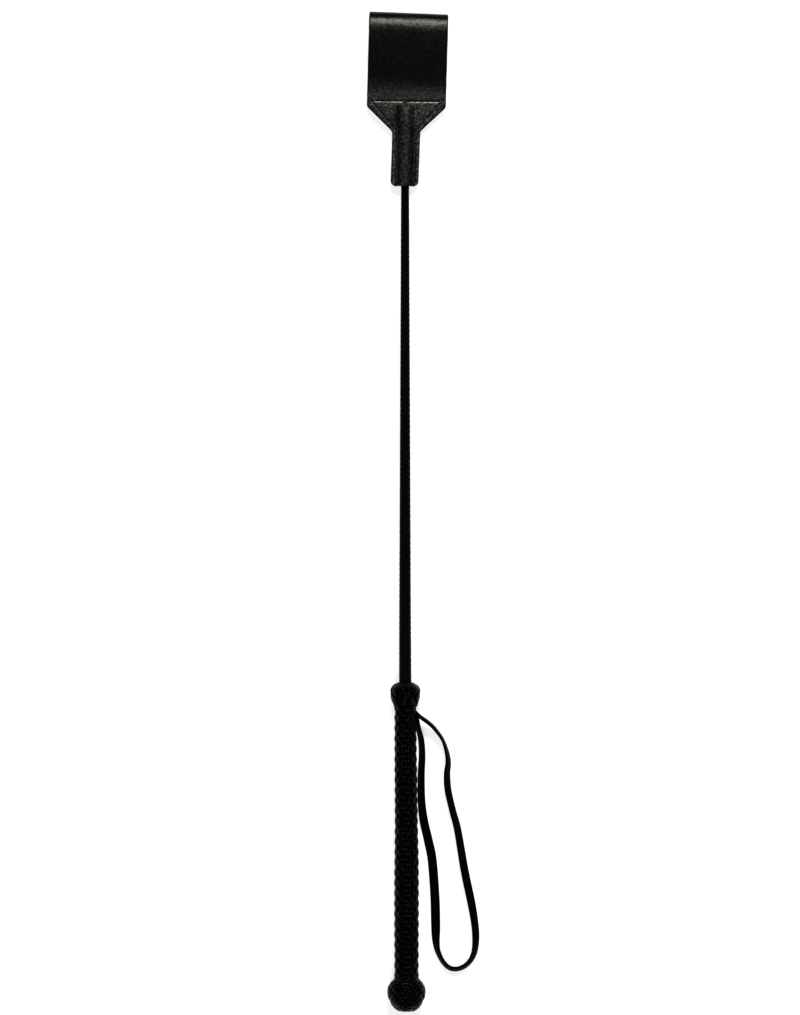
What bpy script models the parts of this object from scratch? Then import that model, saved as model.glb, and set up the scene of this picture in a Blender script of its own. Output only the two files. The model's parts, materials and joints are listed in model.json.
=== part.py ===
"""Riding crop lying on a flat surface: a glass-fibre rod in a woven cover, a leather keeper folded over its
tip, a plaited leather handle between two woven knots, and a lace wrist strap.

Run with: blender --background --python part.py

The design is drawn in the crop's own frame: +Y runs along the rod from the butt to the keeper, +Z is up and
the origin is on the rod's axis at the butt. That frame is then laid down so that the pommel, the collar and
the keeper's sleeve all meet the surface, z = 0, under the middle of the crop.
"""

import math

import bmesh
import bpy
from mathutils import Matrix, Vector
from mathutils.geometry import interpolate_bezier

MM = 0.001

# Driving dimensions, in millimetres along the crop from the butt, or as radii about the rod's axis
CROP_LENGTH = 660.0
CLEARANCE = 0.3  # the gap left between two pieces that touch

POMMEL_CENTRE = 12.8
POMMEL_RADIUS = 12.6
HANDLE_START, HANDLE_END = 22.9, 200.2
HANDLE_RADIUS_BUTT, HANDLE_RADIUS_TOP = 7.95, 7.05
COLLAR_BOTTOM, COLLAR_WAIST, COLLAR_TOP = 201.8, 210.2, 217.2
COLLAR_RADIUS = 9.7
SHAFT_END = 598.0
SHAFT_RADIUS_HANDLE, SHAFT_RADIUS_TIP = 3.9, 2.25
SHAFT_TAPER_START = 218.0
COVER_WALL = 0.8
ROD_START, ROD_END = 7.0, 599.5

PLAIT_STRANDS_EACH_WAY = 6
PLAIT_PITCH = 6.8  # along the handle, from one strand to the next of the same hand
PLAIT_PHASE = math.radians(-30)  # the first crossing's angle round the handle from the top
STRAND_WIDTH, STRAND_THICKNESS = 3.1, 0.8
STRAND_FLAT = 2.5  # the length along the handle that lies straight over or under the crossing strand
STRAND_LAYER_GAP = 0.35

COLLAR_LACE_WIDTH, POMMEL_LACE_WIDTH = 5.0, 6.2
LACE_THICKNESS = 1.1
LACE_LAYER_GAP = 0.45

KEEPER_START = 546.0  # the bottom of the sleeve
KEEPER_LEAN = FLAP_LEAN = math.radians(0.8)  # the keeper sits a little askew on the rod, and its flap on it
SLEEVE_HALF_WIDTH, SLEEVE_END = 9.2, 36.0  # lengths in the keeper run from KEEPER_START
FUNNEL_END = 54.0
KEEPER_HALF_WIDTH = 26.1
STITCH_LINE = 56.6
SOCKET_END = 58.2
FLEX_LINE = 60.6  # where the flap bends
FLAP_LENGTH = CROP_LENGTH - KEEPER_START - FLEX_LINE
SOCKET_LEATHER, FLAP_LEATHER = 1.6, 1.9
SEAM_ALLOWANCE = 2.8
THREAD_RADIUS = 0.35

STRAP_WIDTH, STRAP_THICKNESS = 5.9, 1.8
STRAP_ROOT_X, STRAP_ROOT_Y = 8.7, 198.2
STRAP_ROOT_RADIUS = 1.3

LAY_DOWN_SLOPE = 0.013  # fall of the axis per unit length, from the thick pommel to the thin keeper
FLAP_DROOP = math.radians(1.9)  # the flap bends down until its tip meets the surface


# Materials ---------------------------------------------------------------------------------------------

FINISHES = {
    # name: (colour, roughness, metallic)
    "grain_leather": ((0.016, 0.015, 0.014), 0.38, 0.0),
    "plait_leather": ((0.010, 0.010, 0.010), 0.42, 0.0),
    "strap_leather": ((0.012, 0.011, 0.011), 0.48, 0.0),
    "woven_cover": ((0.014, 0.014, 0.015), 0.70, 0.0),
    "waxed_thread": ((0.012, 0.012, 0.012), 0.55, 0.0),
    "glass_fibre": ((0.55, 0.53, 0.42), 0.50, 0.0),
    "blackened_wood": ((0.020, 0.018, 0.016), 0.65, 0.0),
}


def finish(name):
    """The named material, made once."""
    made = bpy.data.materials.get(name)
    if made:
        return made
    colour, roughness, metallic = FINISHES[name]
    made = bpy.data.materials.new(name)
    made.use_nodes = True
    shader = made.node_tree.nodes["Principled BSDF"]
    shader.inputs["Base Color"].default_value = (*colour, 1.0)
    shader.inputs["Roughness"].default_value = roughness
    shader.inputs["Metallic"].default_value = metallic
    return made


# Shared builders ---------------------------------------------------------------------------------------


def clear_scene():
    for old in list(bpy.data.objects):
        bpy.data.objects.remove(old, do_unlink=True)


def collection(name):
    made = bpy.data.collections.new(name)
    bpy.context.scene.collection.children.link(made)
    return made


def add_empty(name, group, parent=None, location=(0, 0, 0), rotation=(0, 0, 0)):
    made = bpy.data.objects.new(name, None)
    made.parent = parent
    made.location = Vector(location) * MM
    made.rotation_euler = rotation
    group.objects.link(made)
    return made


def add_object(name, data, group, parent, material):
    made = bpy.data.objects.new(name, data)
    made.parent = parent
    if material:
        data.materials.append(finish(material))
    group.objects.link(made)
    return made


def smooth(mesh, angle=50):
    mesh.shade_smooth()
    mesh.set_sharp_from_angle(angle=math.radians(angle))


def turned(name, outline, group, parent, material, steps=24, hollow=False):
    """A shape turned about the rod's axis, from (radius, distance along) points in mm. A hollow one's outline
    closes on itself; a solid one's runs from the axis round to the axis."""
    ring = outline + outline[:1]
    doubled_area = sum(here[0] * after[1] - after[0] * here[1] for here, after in zip(ring, ring[1:]))
    if doubled_area > 0:
        outline = outline[::-1]
    mesh = bpy.data.meshes.new(name)
    build = bmesh.new()
    corners = [build.verts.new((radius * MM, along * MM, 0)) for radius, along in outline]
    for first, second in zip(corners, corners[1:]):
        build.edges.new((first, second))
    if hollow:
        build.edges.new((corners[-1], corners[0]))
    build.to_mesh(mesh)
    build.free()
    made = add_object(name, mesh, group, parent, material)
    screw = made.modifiers.new("Turn", "SCREW")
    screw.axis = "Y"
    screw.steps = screw.render_steps = steps
    screw.use_merge_vertices = not hollow
    screw.merge_threshold = 0.00001
    screw.use_smooth_shade = True
    return made


def bent_grid(name, columns, rows, place, group, parent, material, closed=False):
    """A flat grid of columns x rows points bent into shape: place(across, along) gives each point in mm, with
    across from -1 to 1 and along the row's number. A closed one's last row meets its first."""
    mesh = bpy.data.meshes.new(name)
    build = bmesh.new()
    bmesh.ops.create_grid(build, x_segments=columns - 1, y_segments=rows - 1, size=1)
    for corner in build.verts:
        row = round((corner.co.y + 1) / 2 * (rows - 1))
        corner.co = Vector(place(corner.co.x, row)) * MM
    if closed:
        bmesh.ops.remove_doubles(build, verts=build.verts, dist=0.00001)
    build.to_mesh(mesh)
    build.free()
    return add_object(name, mesh, group, parent, material)


def thicken(made, thickness, offset=0.0):
    """Gives an open surface its thickness, in mm. Offset 0 keeps the surface in the middle of it."""
    solidify = made.modifiers.new("Thickness", "SOLIDIFY")
    solidify.thickness = thickness * MM
    solidify.offset = offset
    solidify.use_even_offset = True
    smooth(made.data)
    return made


def lace(name, path, width, thickness, group, parent, material, columns=2, closed=False):
    """A flat lace along path, a list of (centre, across, width factor), with across a unit vector."""

    def place(across, row):
        centre, side, share = path[row]
        return centre + side * (across * width * share / 2)

    made = bent_grid(name, columns, len(path), place, group, parent, material, closed)
    return thicken(made, thickness)


def wire(name, points, radius, group, parent, material):
    """A thread or a groove cutter along straight runs, from points in mm, as a closed mesh."""
    curve = bpy.data.curves.new(name, "CURVE")
    curve.dimensions = "3D"
    curve.bevel_depth = radius * MM
    curve.bevel_resolution = 1
    curve.use_fill_caps = True
    spline = curve.splines.new("POLY")
    spline.points.add(len(points) - 1)
    for corner, point in zip(spline.points, points):
        corner.co = (*(Vector(point) * MM), 1)
    drawn = add_object(name, curve, group, parent, None)
    bpy.context.view_layer.update()
    evaluated = drawn.evaluated_get(bpy.context.evaluated_depsgraph_get())
    mesh = bpy.data.meshes.new_from_object(evaluated)
    build = bmesh.new()
    build.from_mesh(mesh)
    bmesh.ops.remove_doubles(build, verts=build.verts, dist=0.000001)
    bmesh.ops.recalc_face_normals(build, faces=build.faces)
    build.to_mesh(mesh)
    build.free()
    bpy.data.objects.remove(drawn)
    made = add_object(name, mesh, group, parent, material)
    smooth(mesh)
    return made


# Profiles along the crop -------------------------------------------------------------------------------


def mix(start, end, share):
    return start + (end - start) * share


def handle_radius(along):
    """The plaited handle's outside, thicker at the butt."""
    return mix(HANDLE_RADIUS_BUTT, HANDLE_RADIUS_TOP, (along - HANDLE_START) / (HANDLE_END - HANDLE_START))


def shaft_radius(along):
    """The woven cover's outside, tapering from the collar to the tip."""
    share = max(0.0, (along - SHAFT_TAPER_START) / (SHAFT_END - SHAFT_TAPER_START))
    return mix(SHAFT_RADIUS_HANDLE, SHAFT_RADIUS_TIP, share)


def rod_radius(along):
    return shaft_radius(along) - COVER_WALL - CLEARANCE


# The rod and its cover ---------------------------------------------------------------------------------


def make_core_rod(group, axis):
    tip_round = 0.8
    outline = [
        (0, ROD_START),
        (rod_radius(ROD_START), ROD_START),
        (rod_radius(SHAFT_TAPER_START), SHAFT_TAPER_START),
        (rod_radius(ROD_END - tip_round), ROD_END - tip_round),
        (rod_radius(ROD_END) * 0.6, ROD_END),
        (0, ROD_END),
    ]
    return turned("core_rod", outline, group, axis, "glass_fibre", steps=16)


def make_shaft_cover(group, axis):
    start = HANDLE_END + 1.5
    stations = [start, SHAFT_TAPER_START, 345.0, 470.0, SHAFT_END]
    outer = [(shaft_radius(along), along) for along in stations]
    inner = [(shaft_radius(along) - COVER_WALL, along) for along in reversed(stations)]
    return turned("shaft_cover", outer + inner, group, axis, "woven_cover", steps=20, hollow=True)


def make_tip_whipping(group, axis):
    """Waxed thread wound round the covered tip. Each turn stands a little proud."""
    start, turns, pitch, depth = 583.0, 10, 1.2, 0.45
    inside = shaft_radius(start) + CLEARANCE
    outer = []
    for turn in range(turns):
        foot = start + turn * pitch
        outer.append((inside + depth * 0.6, foot))
        outer.append((inside + depth, foot + pitch / 2))
    end = start + turns * pitch
    outer.append((inside + depth * 0.6, end))
    return turned("tip_whipping", outer + [(inside, end), (inside, start)], group, axis, "waxed_thread",
                  steps=16, hollow=True)


# The handle --------------------------------------------------------------------------------------------


def make_handle_core(group, axis):
    """The wooden core that the strands are plaited over, bored for the rod."""
    plait_depth = 2 * STRAND_THICKNESS + STRAND_LAYER_GAP + 0.55
    bore = rod_radius(0) + CLEARANCE
    low, high = POMMEL_CENTRE + 9.6, HANDLE_END + 0.6
    outline = [
        (handle_radius(low) - plait_depth, low),
        (handle_radius(high) - plait_depth, high),
        (bore, high),
        (bore, low),
    ]
    return turned("handle_core", outline, group, axis, "blackened_wood", steps=20, hollow=True)


def make_handle_strands(group, axis):
    """Twelve strands plaited over one, under one. Half wind each way. All the strands of one hand are on top
    at the same crossings, so one radius rule serves each hand."""
    crossing_step = PLAIT_PITCH / 2
    lift = (STRAND_THICKNESS + STRAND_LAYER_GAP) / 2
    flat = STRAND_FLAT / 2
    turn_rate = 2 * math.pi / PLAIT_STRANDS_EACH_WAY / PLAIT_PITCH
    stations = [(HANDLE_START, 0)]
    count = int((HANDLE_END - HANDLE_START) / crossing_step)
    for crossing in range(count + 1):
        middle = HANDLE_START + (crossing + 0.5) * crossing_step
        ends = [(middle - flat, crossing), (middle + flat, crossing)]
        stations += [end for end in ends if end[0] < HANDLE_END - 0.5]
    stations.append((HANDLE_END, stations[-1][1]))

    for hand in (1, -1):
        for strand in range(PLAIT_STRANDS_EACH_WAY):
            start_angle = PLAIT_PHASE + 2 * math.pi * strand / PLAIT_STRANDS_EACH_WAY
            path = []
            for along, crossing in stations:
                over = hand if crossing % 2 == 0 else -hand
                radius = handle_radius(along) - lift - STRAND_THICKNESS / 2 + over * lift
                # The two hands cross where their angles agree, so both count from the first crossing
                angle = start_angle + hand * turn_rate * (along - HANDLE_START - crossing_step / 2)
                path.append((along, radius, angle, hand * turn_rate))

            def place(across, row, path=path, hand=hand):
                along, radius, angle, rate = path[row]
                slant = math.atan(rate * radius)
                half = hand * across * STRAND_WIDTH / 2
                turned_angle = angle + half * math.cos(slant) / radius
                return (
                    radius * math.sin(turned_angle),
                    along - half * math.sin(slant),
                    radius * math.cos(turned_angle),
                )

            number = strand + 1 if hand == 1 else strand + 1 + PLAIT_STRANDS_EACH_WAY
            name = f"handle_strand_{number:02d}"
            thicken(bent_grid(name, 2, len(path), place, group, axis, "plait_leather"), STRAND_THICKNESS)


# The two woven knots -----------------------------------------------------------------------------------


def knot_path(leads, bights, steps, surface, lift, share):
    """The lace of a Turk's head knot that goes over and under in turn, as sections for lace(). surface(u)
    gives (radius, along) of the knot's middle surface for u from -1 to 1, and share(u) the lace's width."""
    crossings = set()
    for k in range(-4 * bights, 4 * bights + 1):
        for m in range(1, leads):
            for way in (-1, 1):
                at = math.pi * (k * leads / bights + way * m)
                crossings.add(round(at % (2 * math.pi * leads), 6))
    crossings = sorted(crossings)
    total = 2 * math.pi * leads

    def height(t):
        """-1 under to 1 over, easing from each crossing to the next."""
        t = t % total
        after = next((i for i, c in enumerate(crossings) if c > t), len(crossings))
        before = after - 1
        low = crossings[before] - (total if before < 0 else 0)
        high = crossings[after % len(crossings)] + (total if after == len(crossings) else 0)
        share_between = (t - low) / (high - low)
        side = 1 if before % 2 == 0 else -1
        return side * math.cos(math.pi * share_between)

    def point(t):
        u = math.cos(bights * t / leads)
        radius, along = surface(u)
        step = 1e-4
        radius_up, along_up = surface(min(1.0, u + step))
        radius_down, along_down = surface(max(-1.0, u - step))
        rise = Vector((radius_up - radius_down, along_up - along_down)).normalized()
        outward = Vector((rise.y * math.sin(t), -rise.x, rise.y * math.cos(t)))
        middle = Vector((radius * math.sin(t), along, radius * math.cos(t)))
        return middle + outward * (lift * height(t)), outward, u

    path = []
    for number in range(steps + 1):
        t = total * number / steps
        centre, outward, u = point(t)
        ahead = point(t + 0.01)[0] - point(t - 0.01)[0]
        path.append((centre, ahead.cross(outward).normalized(), share(u)))
    return path


def make_collar(group, axis):
    """A woven ring over the top of the handle, on a turned foundation."""
    lift = (LACE_THICKNESS + LACE_LAYER_GAP) / 2
    waist = COLLAR_RADIUS - lift - LACE_THICKNESS / 2

    def surface(u):
        if u < 0:
            return waist - 1.6 * u * u, mix(COLLAR_WAIST, COLLAR_BOTTOM + 1.2, -u)
        return waist - 2.5 * u**2.2, mix(COLLAR_WAIST, COLLAR_TOP - 0.9, u)

    path = knot_path(3, 5, 90, surface, lift, lambda u: 1.0 - 0.4 * u * u)
    lace("collar_knot", path, COLLAR_LACE_WIDTH, LACE_THICKNESS, group, axis, "plait_leather", 3, closed=True)

    depth = lift + LACE_THICKNESS / 2 + 0.75
    bore = SHAFT_RADIUS_HANDLE + CLEARANCE
    outer = [(surface(u)[0] - depth, surface(u)[1]) for u in (-1.0, -0.5, 0.0, 0.4, 0.75)]
    outline = outer + [(bore, outer[-1][1]), (bore, outer[0][1])]
    turned("collar_foundation", outline, group, axis, "blackened_wood", steps=20, hollow=True)


def make_pommel(group, axis):
    """A ball on the butt end of the rod, covered by a woven knot."""
    lift = (LACE_THICKNESS + LACE_LAYER_GAP) / 2
    radius = POMMEL_RADIUS - lift - LACE_THICKNESS / 2
    butt_ring, neck_ring = math.radians(20), math.radians(131)

    def surface(u):
        polar = mix(butt_ring, neck_ring, (u + 1) / 2)
        return radius * math.sin(polar), POMMEL_CENTRE - radius * math.cos(polar)

    path = knot_path(5, 4, 150, surface, lift, lambda u: 1.0 - 0.5 * u * u)
    lace("pommel_knot", path, POMMEL_LACE_WIDTH, LACE_THICKNESS, group, axis, "plait_leather", 3, closed=True)

    ball = radius - lift - LACE_THICKNESS / 2 - 0.55
    bore = rod_radius(0) + CLEARANCE
    neck = math.acos(8.2 / ball)
    floor = ROD_START - CLEARANCE
    outline = [(0, POMMEL_CENTRE - ball)]
    for step in range(1, 9):
        polar = mix(0, math.pi - neck, step / 8)
        outline.append((ball * math.sin(polar), POMMEL_CENTRE - ball * math.cos(polar)))
    outline += [(bore, outline[-1][1]), (bore, floor), (0, floor)]
    turned("pommel_ball", outline, group, axis, "blackened_wood", steps=20)


# The keeper --------------------------------------------------------------------------------------------


def keeper_half_width(along):
    """Half the width of the sleeve and funnel, with the sleeve's lower corners rounded."""
    corner = 3.2
    if along < corner:
        rise = corner - along
        return SLEEVE_HALF_WIDTH - corner + math.sqrt(max(0.0, corner**2 - rise**2))
    if along < SLEEVE_END:
        return SLEEVE_HALF_WIDTH
    if along < FUNNEL_END:
        return mix(SLEEVE_HALF_WIDTH, KEEPER_HALF_WIDTH, (along - SLEEVE_END) / (FUNNEL_END - SLEEVE_END))
    return KEEPER_HALF_WIDTH


def socket_bulge(offset, along):
    """Height of the leather's inner face over the seam, at an offset from the rod's axis."""
    tip_end = SHAFT_END - KEEPER_START + 1.5
    ridge_half_width = SLEEVE_HALF_WIDTH - SEAM_ALLOWANCE
    fall = min(1.0, max(0.0, (STITCH_LINE - 1.2 - along) / (STITCH_LINE - 1.2 - tip_end)))
    crest = mix(2.85, 3.3, min(1.0, max(0.0, (along - 30) / 6)))
    reach = abs(offset) / ridge_half_width
    ridge = math.cos(math.pi / 2 * reach) ** 2 if reach < 1 else 0.0
    return crest * ridge * fall**0.5


def make_socket_half(name, side, group, axis):
    """One half of the sleeve and funnel. side is 1 for the front and -1 for the back."""
    stations = [0.0, 0.7, 1.8, 3.2, 12.0, 22.0, 30.0]
    stations += [SLEEVE_END, 42.0, 48.0, 52.4, FUNNEL_END, 55.4, SOCKET_END]
    columns = 13

    def place(across, row):
        along = stations[row]
        half = keeper_half_width(along)
        ridge = SLEEVE_HALF_WIDTH - SEAM_ALLOWANCE
        # The middle nine columns span the ridge, which follows the rod; the others carry on to the edge
        centre = -along * math.tan(KEEPER_LEAN)
        inner_share = 8 / 12
        offset = min(ridge, half - 0.4) * max(-1.0, min(1.0, across / inner_share))
        x = centre + offset
        if abs(across) > inner_share + 1e-6:
            x = mix(x, math.copysign(half, across), (abs(across) - inner_share) / (1 - inner_share))
        height = socket_bulge(offset, along) if abs(across) <= inner_share + 1e-6 else 0.0
        return x, along, side * (CLEARANCE / 2 + height)

    made = bent_grid(name, columns, len(stations), place, group, axis, "grain_leather")
    thicken(made, SOCKET_LEATHER, offset=side)
    return made


def stitch_path(height):
    """The line of stitching: up one side of the sleeve, round the funnel, across its mouth and down again."""
    sleeve_x = SLEEVE_HALF_WIDTH - SEAM_ALLOWANCE
    mouth_x = KEEPER_HALF_WIDTH - SEAM_ALLOWANCE - 0.2
    right = [(sleeve_x, 3.0), (sleeve_x, SLEEVE_END + 1.0)]
    right += [(mouth_x, STITCH_LINE - 1.2), (mouth_x, STITCH_LINE)]
    left = [(-x, along) for x, along in reversed(right)]
    return [(x, along, height) for x, along in right + left]


def make_stitching(group, helpers, axis, halves):
    """A waxed thread on each face, in a groove cut in the leather."""
    face = CLEARANCE / 2 + SOCKET_LEATHER
    for name, side, half in (("stitching_front", 1, halves[0]), ("stitching_back", -1, halves[1])):
        height = side * (face + 0.1)
        wire(name, stitch_path(height), THREAD_RADIUS, group, axis, "waxed_thread")
        cutter = wire(name + "_groove", stitch_path(height), THREAD_RADIUS + CLEARANCE, helpers, axis, None)
        cutter.hide_render = True
        cutter.display_type = "WIRE"
        groove = half.modifiers.new("Stitch groove", "BOOLEAN")
        groove.operation = "DIFFERENCE"
        groove.object = cutter


def make_flap(group, hinge):
    """One leather strip folded over at the tip. Its back leaf is flat, and its front leaf is arched."""
    leaf = FLAP_LEATHER / 2 + CLEARANCE / 2
    nose = 13.0  # length of the folded end
    crown = leaf + 3.6  # height of the front leaf where the fold begins
    reach = FLAP_LENGTH - FLAP_LEATHER / 2
    profile = [(0.0, -leaf), (reach - nose * 0.35, -leaf)]
    middle = (crown - leaf) / 2
    half = (crown + leaf) / 2
    for step in range(1, 6):
        angle = mix(-90, 0, step / 6)
        profile.append((reach - nose * 0.35 * (1 - math.cos(math.radians(angle))),
                        middle + half * math.sin(math.radians(angle))))
    for step in range(0, 7):
        angle = mix(0, 90, step / 6)
        profile.append((reach - nose * (1 - math.cos(math.radians(angle))),
                        middle + half * math.sin(math.radians(angle))))
    arch_start = reach - nose
    for step in range(1, 5):
        share = 1 - step / 4
        profile.append((arch_start * share, mix(leaf, crown, math.sin(math.pi / 2 * share))))

    def place(across, row):
        along, height = profile[row]
        return across * KEEPER_HALF_WIDTH, along, height

    made = bent_grid("keeper_flap", 2, len(profile), place, group, hinge, "grain_leather")
    thicken(made, FLAP_LEATHER)


# The wrist strap ---------------------------------------------------------------------------------------

# (across from the rod's axis, along from the butt, height of the lower edge, roll in degrees), with roll 0
# where the lace lies flat and 90 where it stands on its edge
STRAP_LAY = [
    (8.6, 196.1, 7.7, 88), (9.4, 188.2, 4.6, 84), (10.4, 179.5, 2.4, 68), (10.9, 169.6, 1.1, 64),
    (10.7, 156.4, 0.4, 61), (10.8, 139.8, 0.3, 54), (12.2, 126.6, 0.3, 38), (15.2, 113.4, 0.3, 24),
    (17.8, 100.1, 0.3, 8), (19.6, 76.0, 0.3, 0), (20.1, 57.1, 0.3, 16), (20.3, 47.2, 0.3, 50),
    (21.4, 40.0, 0.3, 73), (24.8, 33.0, 0.3, 86), (29.2, 28.8, 0.3, 90), (34.3, 27.7, 0.3, 88),
    (39.4, 30.2, 0.3, 84), (43.2, 35.0, 0.3, 78), (45.5, 41.4, 0.3, 69), (46.2, 50.5, 0.3, 60),
    (45.4, 61.0, 0.3, 56), (43.2, 74.0, 0.3, 50), (39.3, 93.5, 0.3, 50), (34.8, 120.0, 0.3, 60),
    (31.4, 133.2, 0.3, 63), (28.5, 146.4, 0.3, 62), (27.6, 157.0, 0.3, 67), (28.0, 166.3, 0.4, 77),
    (25.0, 178.8, 1.2, 88), (20.0, 186.3, 2.6, 90), (14.2, 193.0, 5.2, 90), (10.5, 197.0, 7.9, 90),
]


def strap_path(pivot):
    """The lace's sections in the surface's frame, from STRAP_LAY, measured from the pivot."""
    cosine = math.cos(math.atan(LAY_DOWN_SLOPE))
    knots = []
    for number, (x, along, lower_edge, degrees) in enumerate(STRAP_LAY):
        roll = math.radians(degrees)
        share = strap_share(2 * min(number, len(STRAP_LAY) - 1 - number))
        centre = lower_edge + (STRAP_WIDTH * share * math.sin(roll) + STRAP_THICKNESS * math.cos(roll)) / 2
        knots.append((Vector((x, along * cosine - CROP_LENGTH / 2, centre)) - pivot, roll))
    path = []
    for number in range(len(knots) - 1):
        before = knots[max(0, number - 1)][0]
        start, end = knots[number][0], knots[number + 1][0]
        after = knots[min(len(knots) - 1, number + 2)][0]
        first, second = start + (end - before) / 6, end - (after - start) / 6
        points = interpolate_bezier(start, first, second, end, 3)
        last = number == len(knots) - 2
        for step in range(3 if last else 2):
            path.append((points[step], mix(knots[number][1], knots[number + 1][1], step / 2)))
    sections = []
    for number, (centre, roll) in enumerate(path):
        ahead = path[min(len(path) - 1, number + 1)][0] - path[max(0, number - 1)][0]
        level = ahead.cross(Vector((0, 0, 1))).normalized()
        across = Matrix.Rotation(roll, 3, ahead.normalized()) @ level
        sections.append((centre, across, strap_share(min(number, len(path) - 1 - number))))
    return sections


def strap_share(sections_from_end):
    """The lace is gathered where its two ends pass under the collar."""
    return min(1.0, 0.45 + 0.14 * sections_from_end)


def make_strap(group, pivot_empty, pivot):
    mesh = bpy.data.meshes.new("strap_root")
    build = bmesh.new()
    bmesh.ops.create_uvsphere(build, u_segments=12, v_segments=8, radius=STRAP_ROOT_RADIUS * MM)
    build.to_mesh(mesh)
    build.free()
    smooth(mesh)
    add_object("strap_root", mesh, group, pivot_empty, "strap_leather")
    lace("strap_loop", strap_path(pivot), STRAP_WIDTH, STRAP_THICKNESS, group, pivot_empty, "strap_leather")


# Assembly ----------------------------------------------------------------------------------------------


def main():
    clear_scene()
    group = collection("riding_crop")
    helpers = collection("cutters")

    slope = math.atan(LAY_DOWN_SLOPE)
    butt_height = POMMEL_RADIUS + CLEARANCE / 2 + LAY_DOWN_SLOPE * POMMEL_CENTRE
    axis = add_empty("crop_axis", group, location=(0, -CROP_LENGTH / 2, butt_height), rotation=(-slope, 0, 0))
    make_core_rod(group, axis)
    make_shaft_cover(group, axis)
    make_tip_whipping(group, axis)
    make_handle_core(group, axis)
    make_handle_strands(group, axis)
    make_collar(group, axis)
    make_pommel(group, axis)

    keeper = add_empty("keeper_axis", group, axis, (0, KEEPER_START, 0), (0, 0, -KEEPER_LEAN))
    front = make_socket_half("socket_front", 1, group, keeper)
    back = make_socket_half("socket_back", -1, group, keeper)
    make_stitching(group, helpers, keeper, (front, back))
    hinge = add_empty("keeper_hinge", group, keeper, (0, FLEX_LINE, 0), (-FLAP_DROOP, 0, -FLAP_LEAN))
    make_flap(group, hinge)

    bpy.context.view_layer.update()
    pivot = axis.matrix_world @ (Vector((STRAP_ROOT_X, STRAP_ROOT_Y, 0)) * MM) / MM
    pivot_empty = add_empty("strap_pivot", group, location=pivot)
    make_strap(group, pivot_empty, pivot)


main()
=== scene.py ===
"""Looks of a riding crop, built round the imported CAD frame.

Lengths in this script are in millimetres in three frames: the crop's (+Y along the rod from the butt, +Z up), the
keeper's, which starts at the bottom of its sleeve and leans a little, and the flap's, which starts at its bending
line. They are turned into metres in the world when a mesh is made.
"""
import json
import math

import bmesh
import bpy
import numpy as np
from mathutils import Matrix, Vector


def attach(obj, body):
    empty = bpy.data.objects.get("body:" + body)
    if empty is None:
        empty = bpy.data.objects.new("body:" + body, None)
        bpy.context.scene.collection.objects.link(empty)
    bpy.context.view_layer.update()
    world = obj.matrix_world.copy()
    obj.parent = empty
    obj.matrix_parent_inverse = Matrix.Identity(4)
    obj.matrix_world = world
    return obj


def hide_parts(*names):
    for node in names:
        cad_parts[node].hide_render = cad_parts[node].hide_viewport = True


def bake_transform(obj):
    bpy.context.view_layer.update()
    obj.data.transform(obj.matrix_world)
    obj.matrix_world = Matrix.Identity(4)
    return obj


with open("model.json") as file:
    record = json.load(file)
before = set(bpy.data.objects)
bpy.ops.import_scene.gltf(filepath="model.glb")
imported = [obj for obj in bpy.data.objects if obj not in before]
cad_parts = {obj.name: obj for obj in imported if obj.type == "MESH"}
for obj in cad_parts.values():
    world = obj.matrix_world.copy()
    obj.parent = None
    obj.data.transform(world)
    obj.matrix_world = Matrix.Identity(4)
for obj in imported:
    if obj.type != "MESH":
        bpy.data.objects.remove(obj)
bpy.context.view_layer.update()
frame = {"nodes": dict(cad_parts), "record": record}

MM = 0.001
rng = np.random.default_rng(11)

# The crop's frame comes from the grip mount, which lies on the rod's axis, and the flap's from the keeper's at its
# bending line
GRIP_ALONG = 111.5094
mounts = {mount["name"]: mount for mount in frame["record"]["mounts"]}
joints = {joint["name"]: joint for joint in frame["record"]["behaviour"]["joints"]}
axis_direction = Vector(mounts["grip"]["axis"]).normalized()
butt = Vector(mounts["grip"]["pos_m"]) - axis_direction * GRIP_ALONG * MM
slope = math.atan2(-axis_direction.z, axis_direction.y)
CROP = Matrix.Translation(butt) @ Matrix.Rotation(-slope, 4, "X") @ Matrix.Scale(MM, 4)

KEEPER_START = 546.0
KEEPER_LEAN = FLAP_LEAN = math.radians(0.8)
FLAP_DROOP = math.radians(1.9)
FLEX_LINE = 60.6
KEEPER = CROP @ Matrix.Translation((0, KEEPER_START, 0)) @ Matrix.Rotation(-KEEPER_LEAN, 4, "Z")
FLAP = (
    KEEPER
    @ Matrix.Translation((0, FLEX_LINE, 0))
    @ Matrix.Rotation(-FLAP_LEAN, 4, "Z")
    @ Matrix.Rotation(-FLAP_DROOP, 4, "X")
)
SURFACE = Matrix.Scale(MM, 4)  # the world's frame, in millimetres


# Numbers ------------------------------


def mix(start, end, share):
    return start + (end - start) * share


def smoothstep(start, end, value):
    share = np.clip((value - start) / (end - start), 0.0, 1.0)
    return share * share * (3 - 2 * share)


def unit(vectors):
    """Vectors scaled to length 1."""
    return vectors / np.linalg.norm(vectors, axis=-1, keepdims=True)


def full_turn(count):
    """Evenly spaced angles once round."""
    return np.linspace(0, 2 * math.pi, count, endpoint=False)


def round_axis(radius, along, turn):
    """Points at a distance from the rod's axis, turned from straight up towards the right."""
    return np.stack([radius * np.sin(turn), along, radius * np.cos(turn)], axis=-1)


def look_up(corners, at):
    """A value read from a list of (place, value) corners."""
    places, values = np.transpose(corners)
    return np.interp(at, places, values)


def smoothed(values, passes):
    """Values eased towards their neighbours a number of times, with both ends held."""
    for _ in range(passes):
        values[1:-1] = (values[:-2] + 2 * values[1:-1] + values[2:]) / 4
    return values


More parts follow.
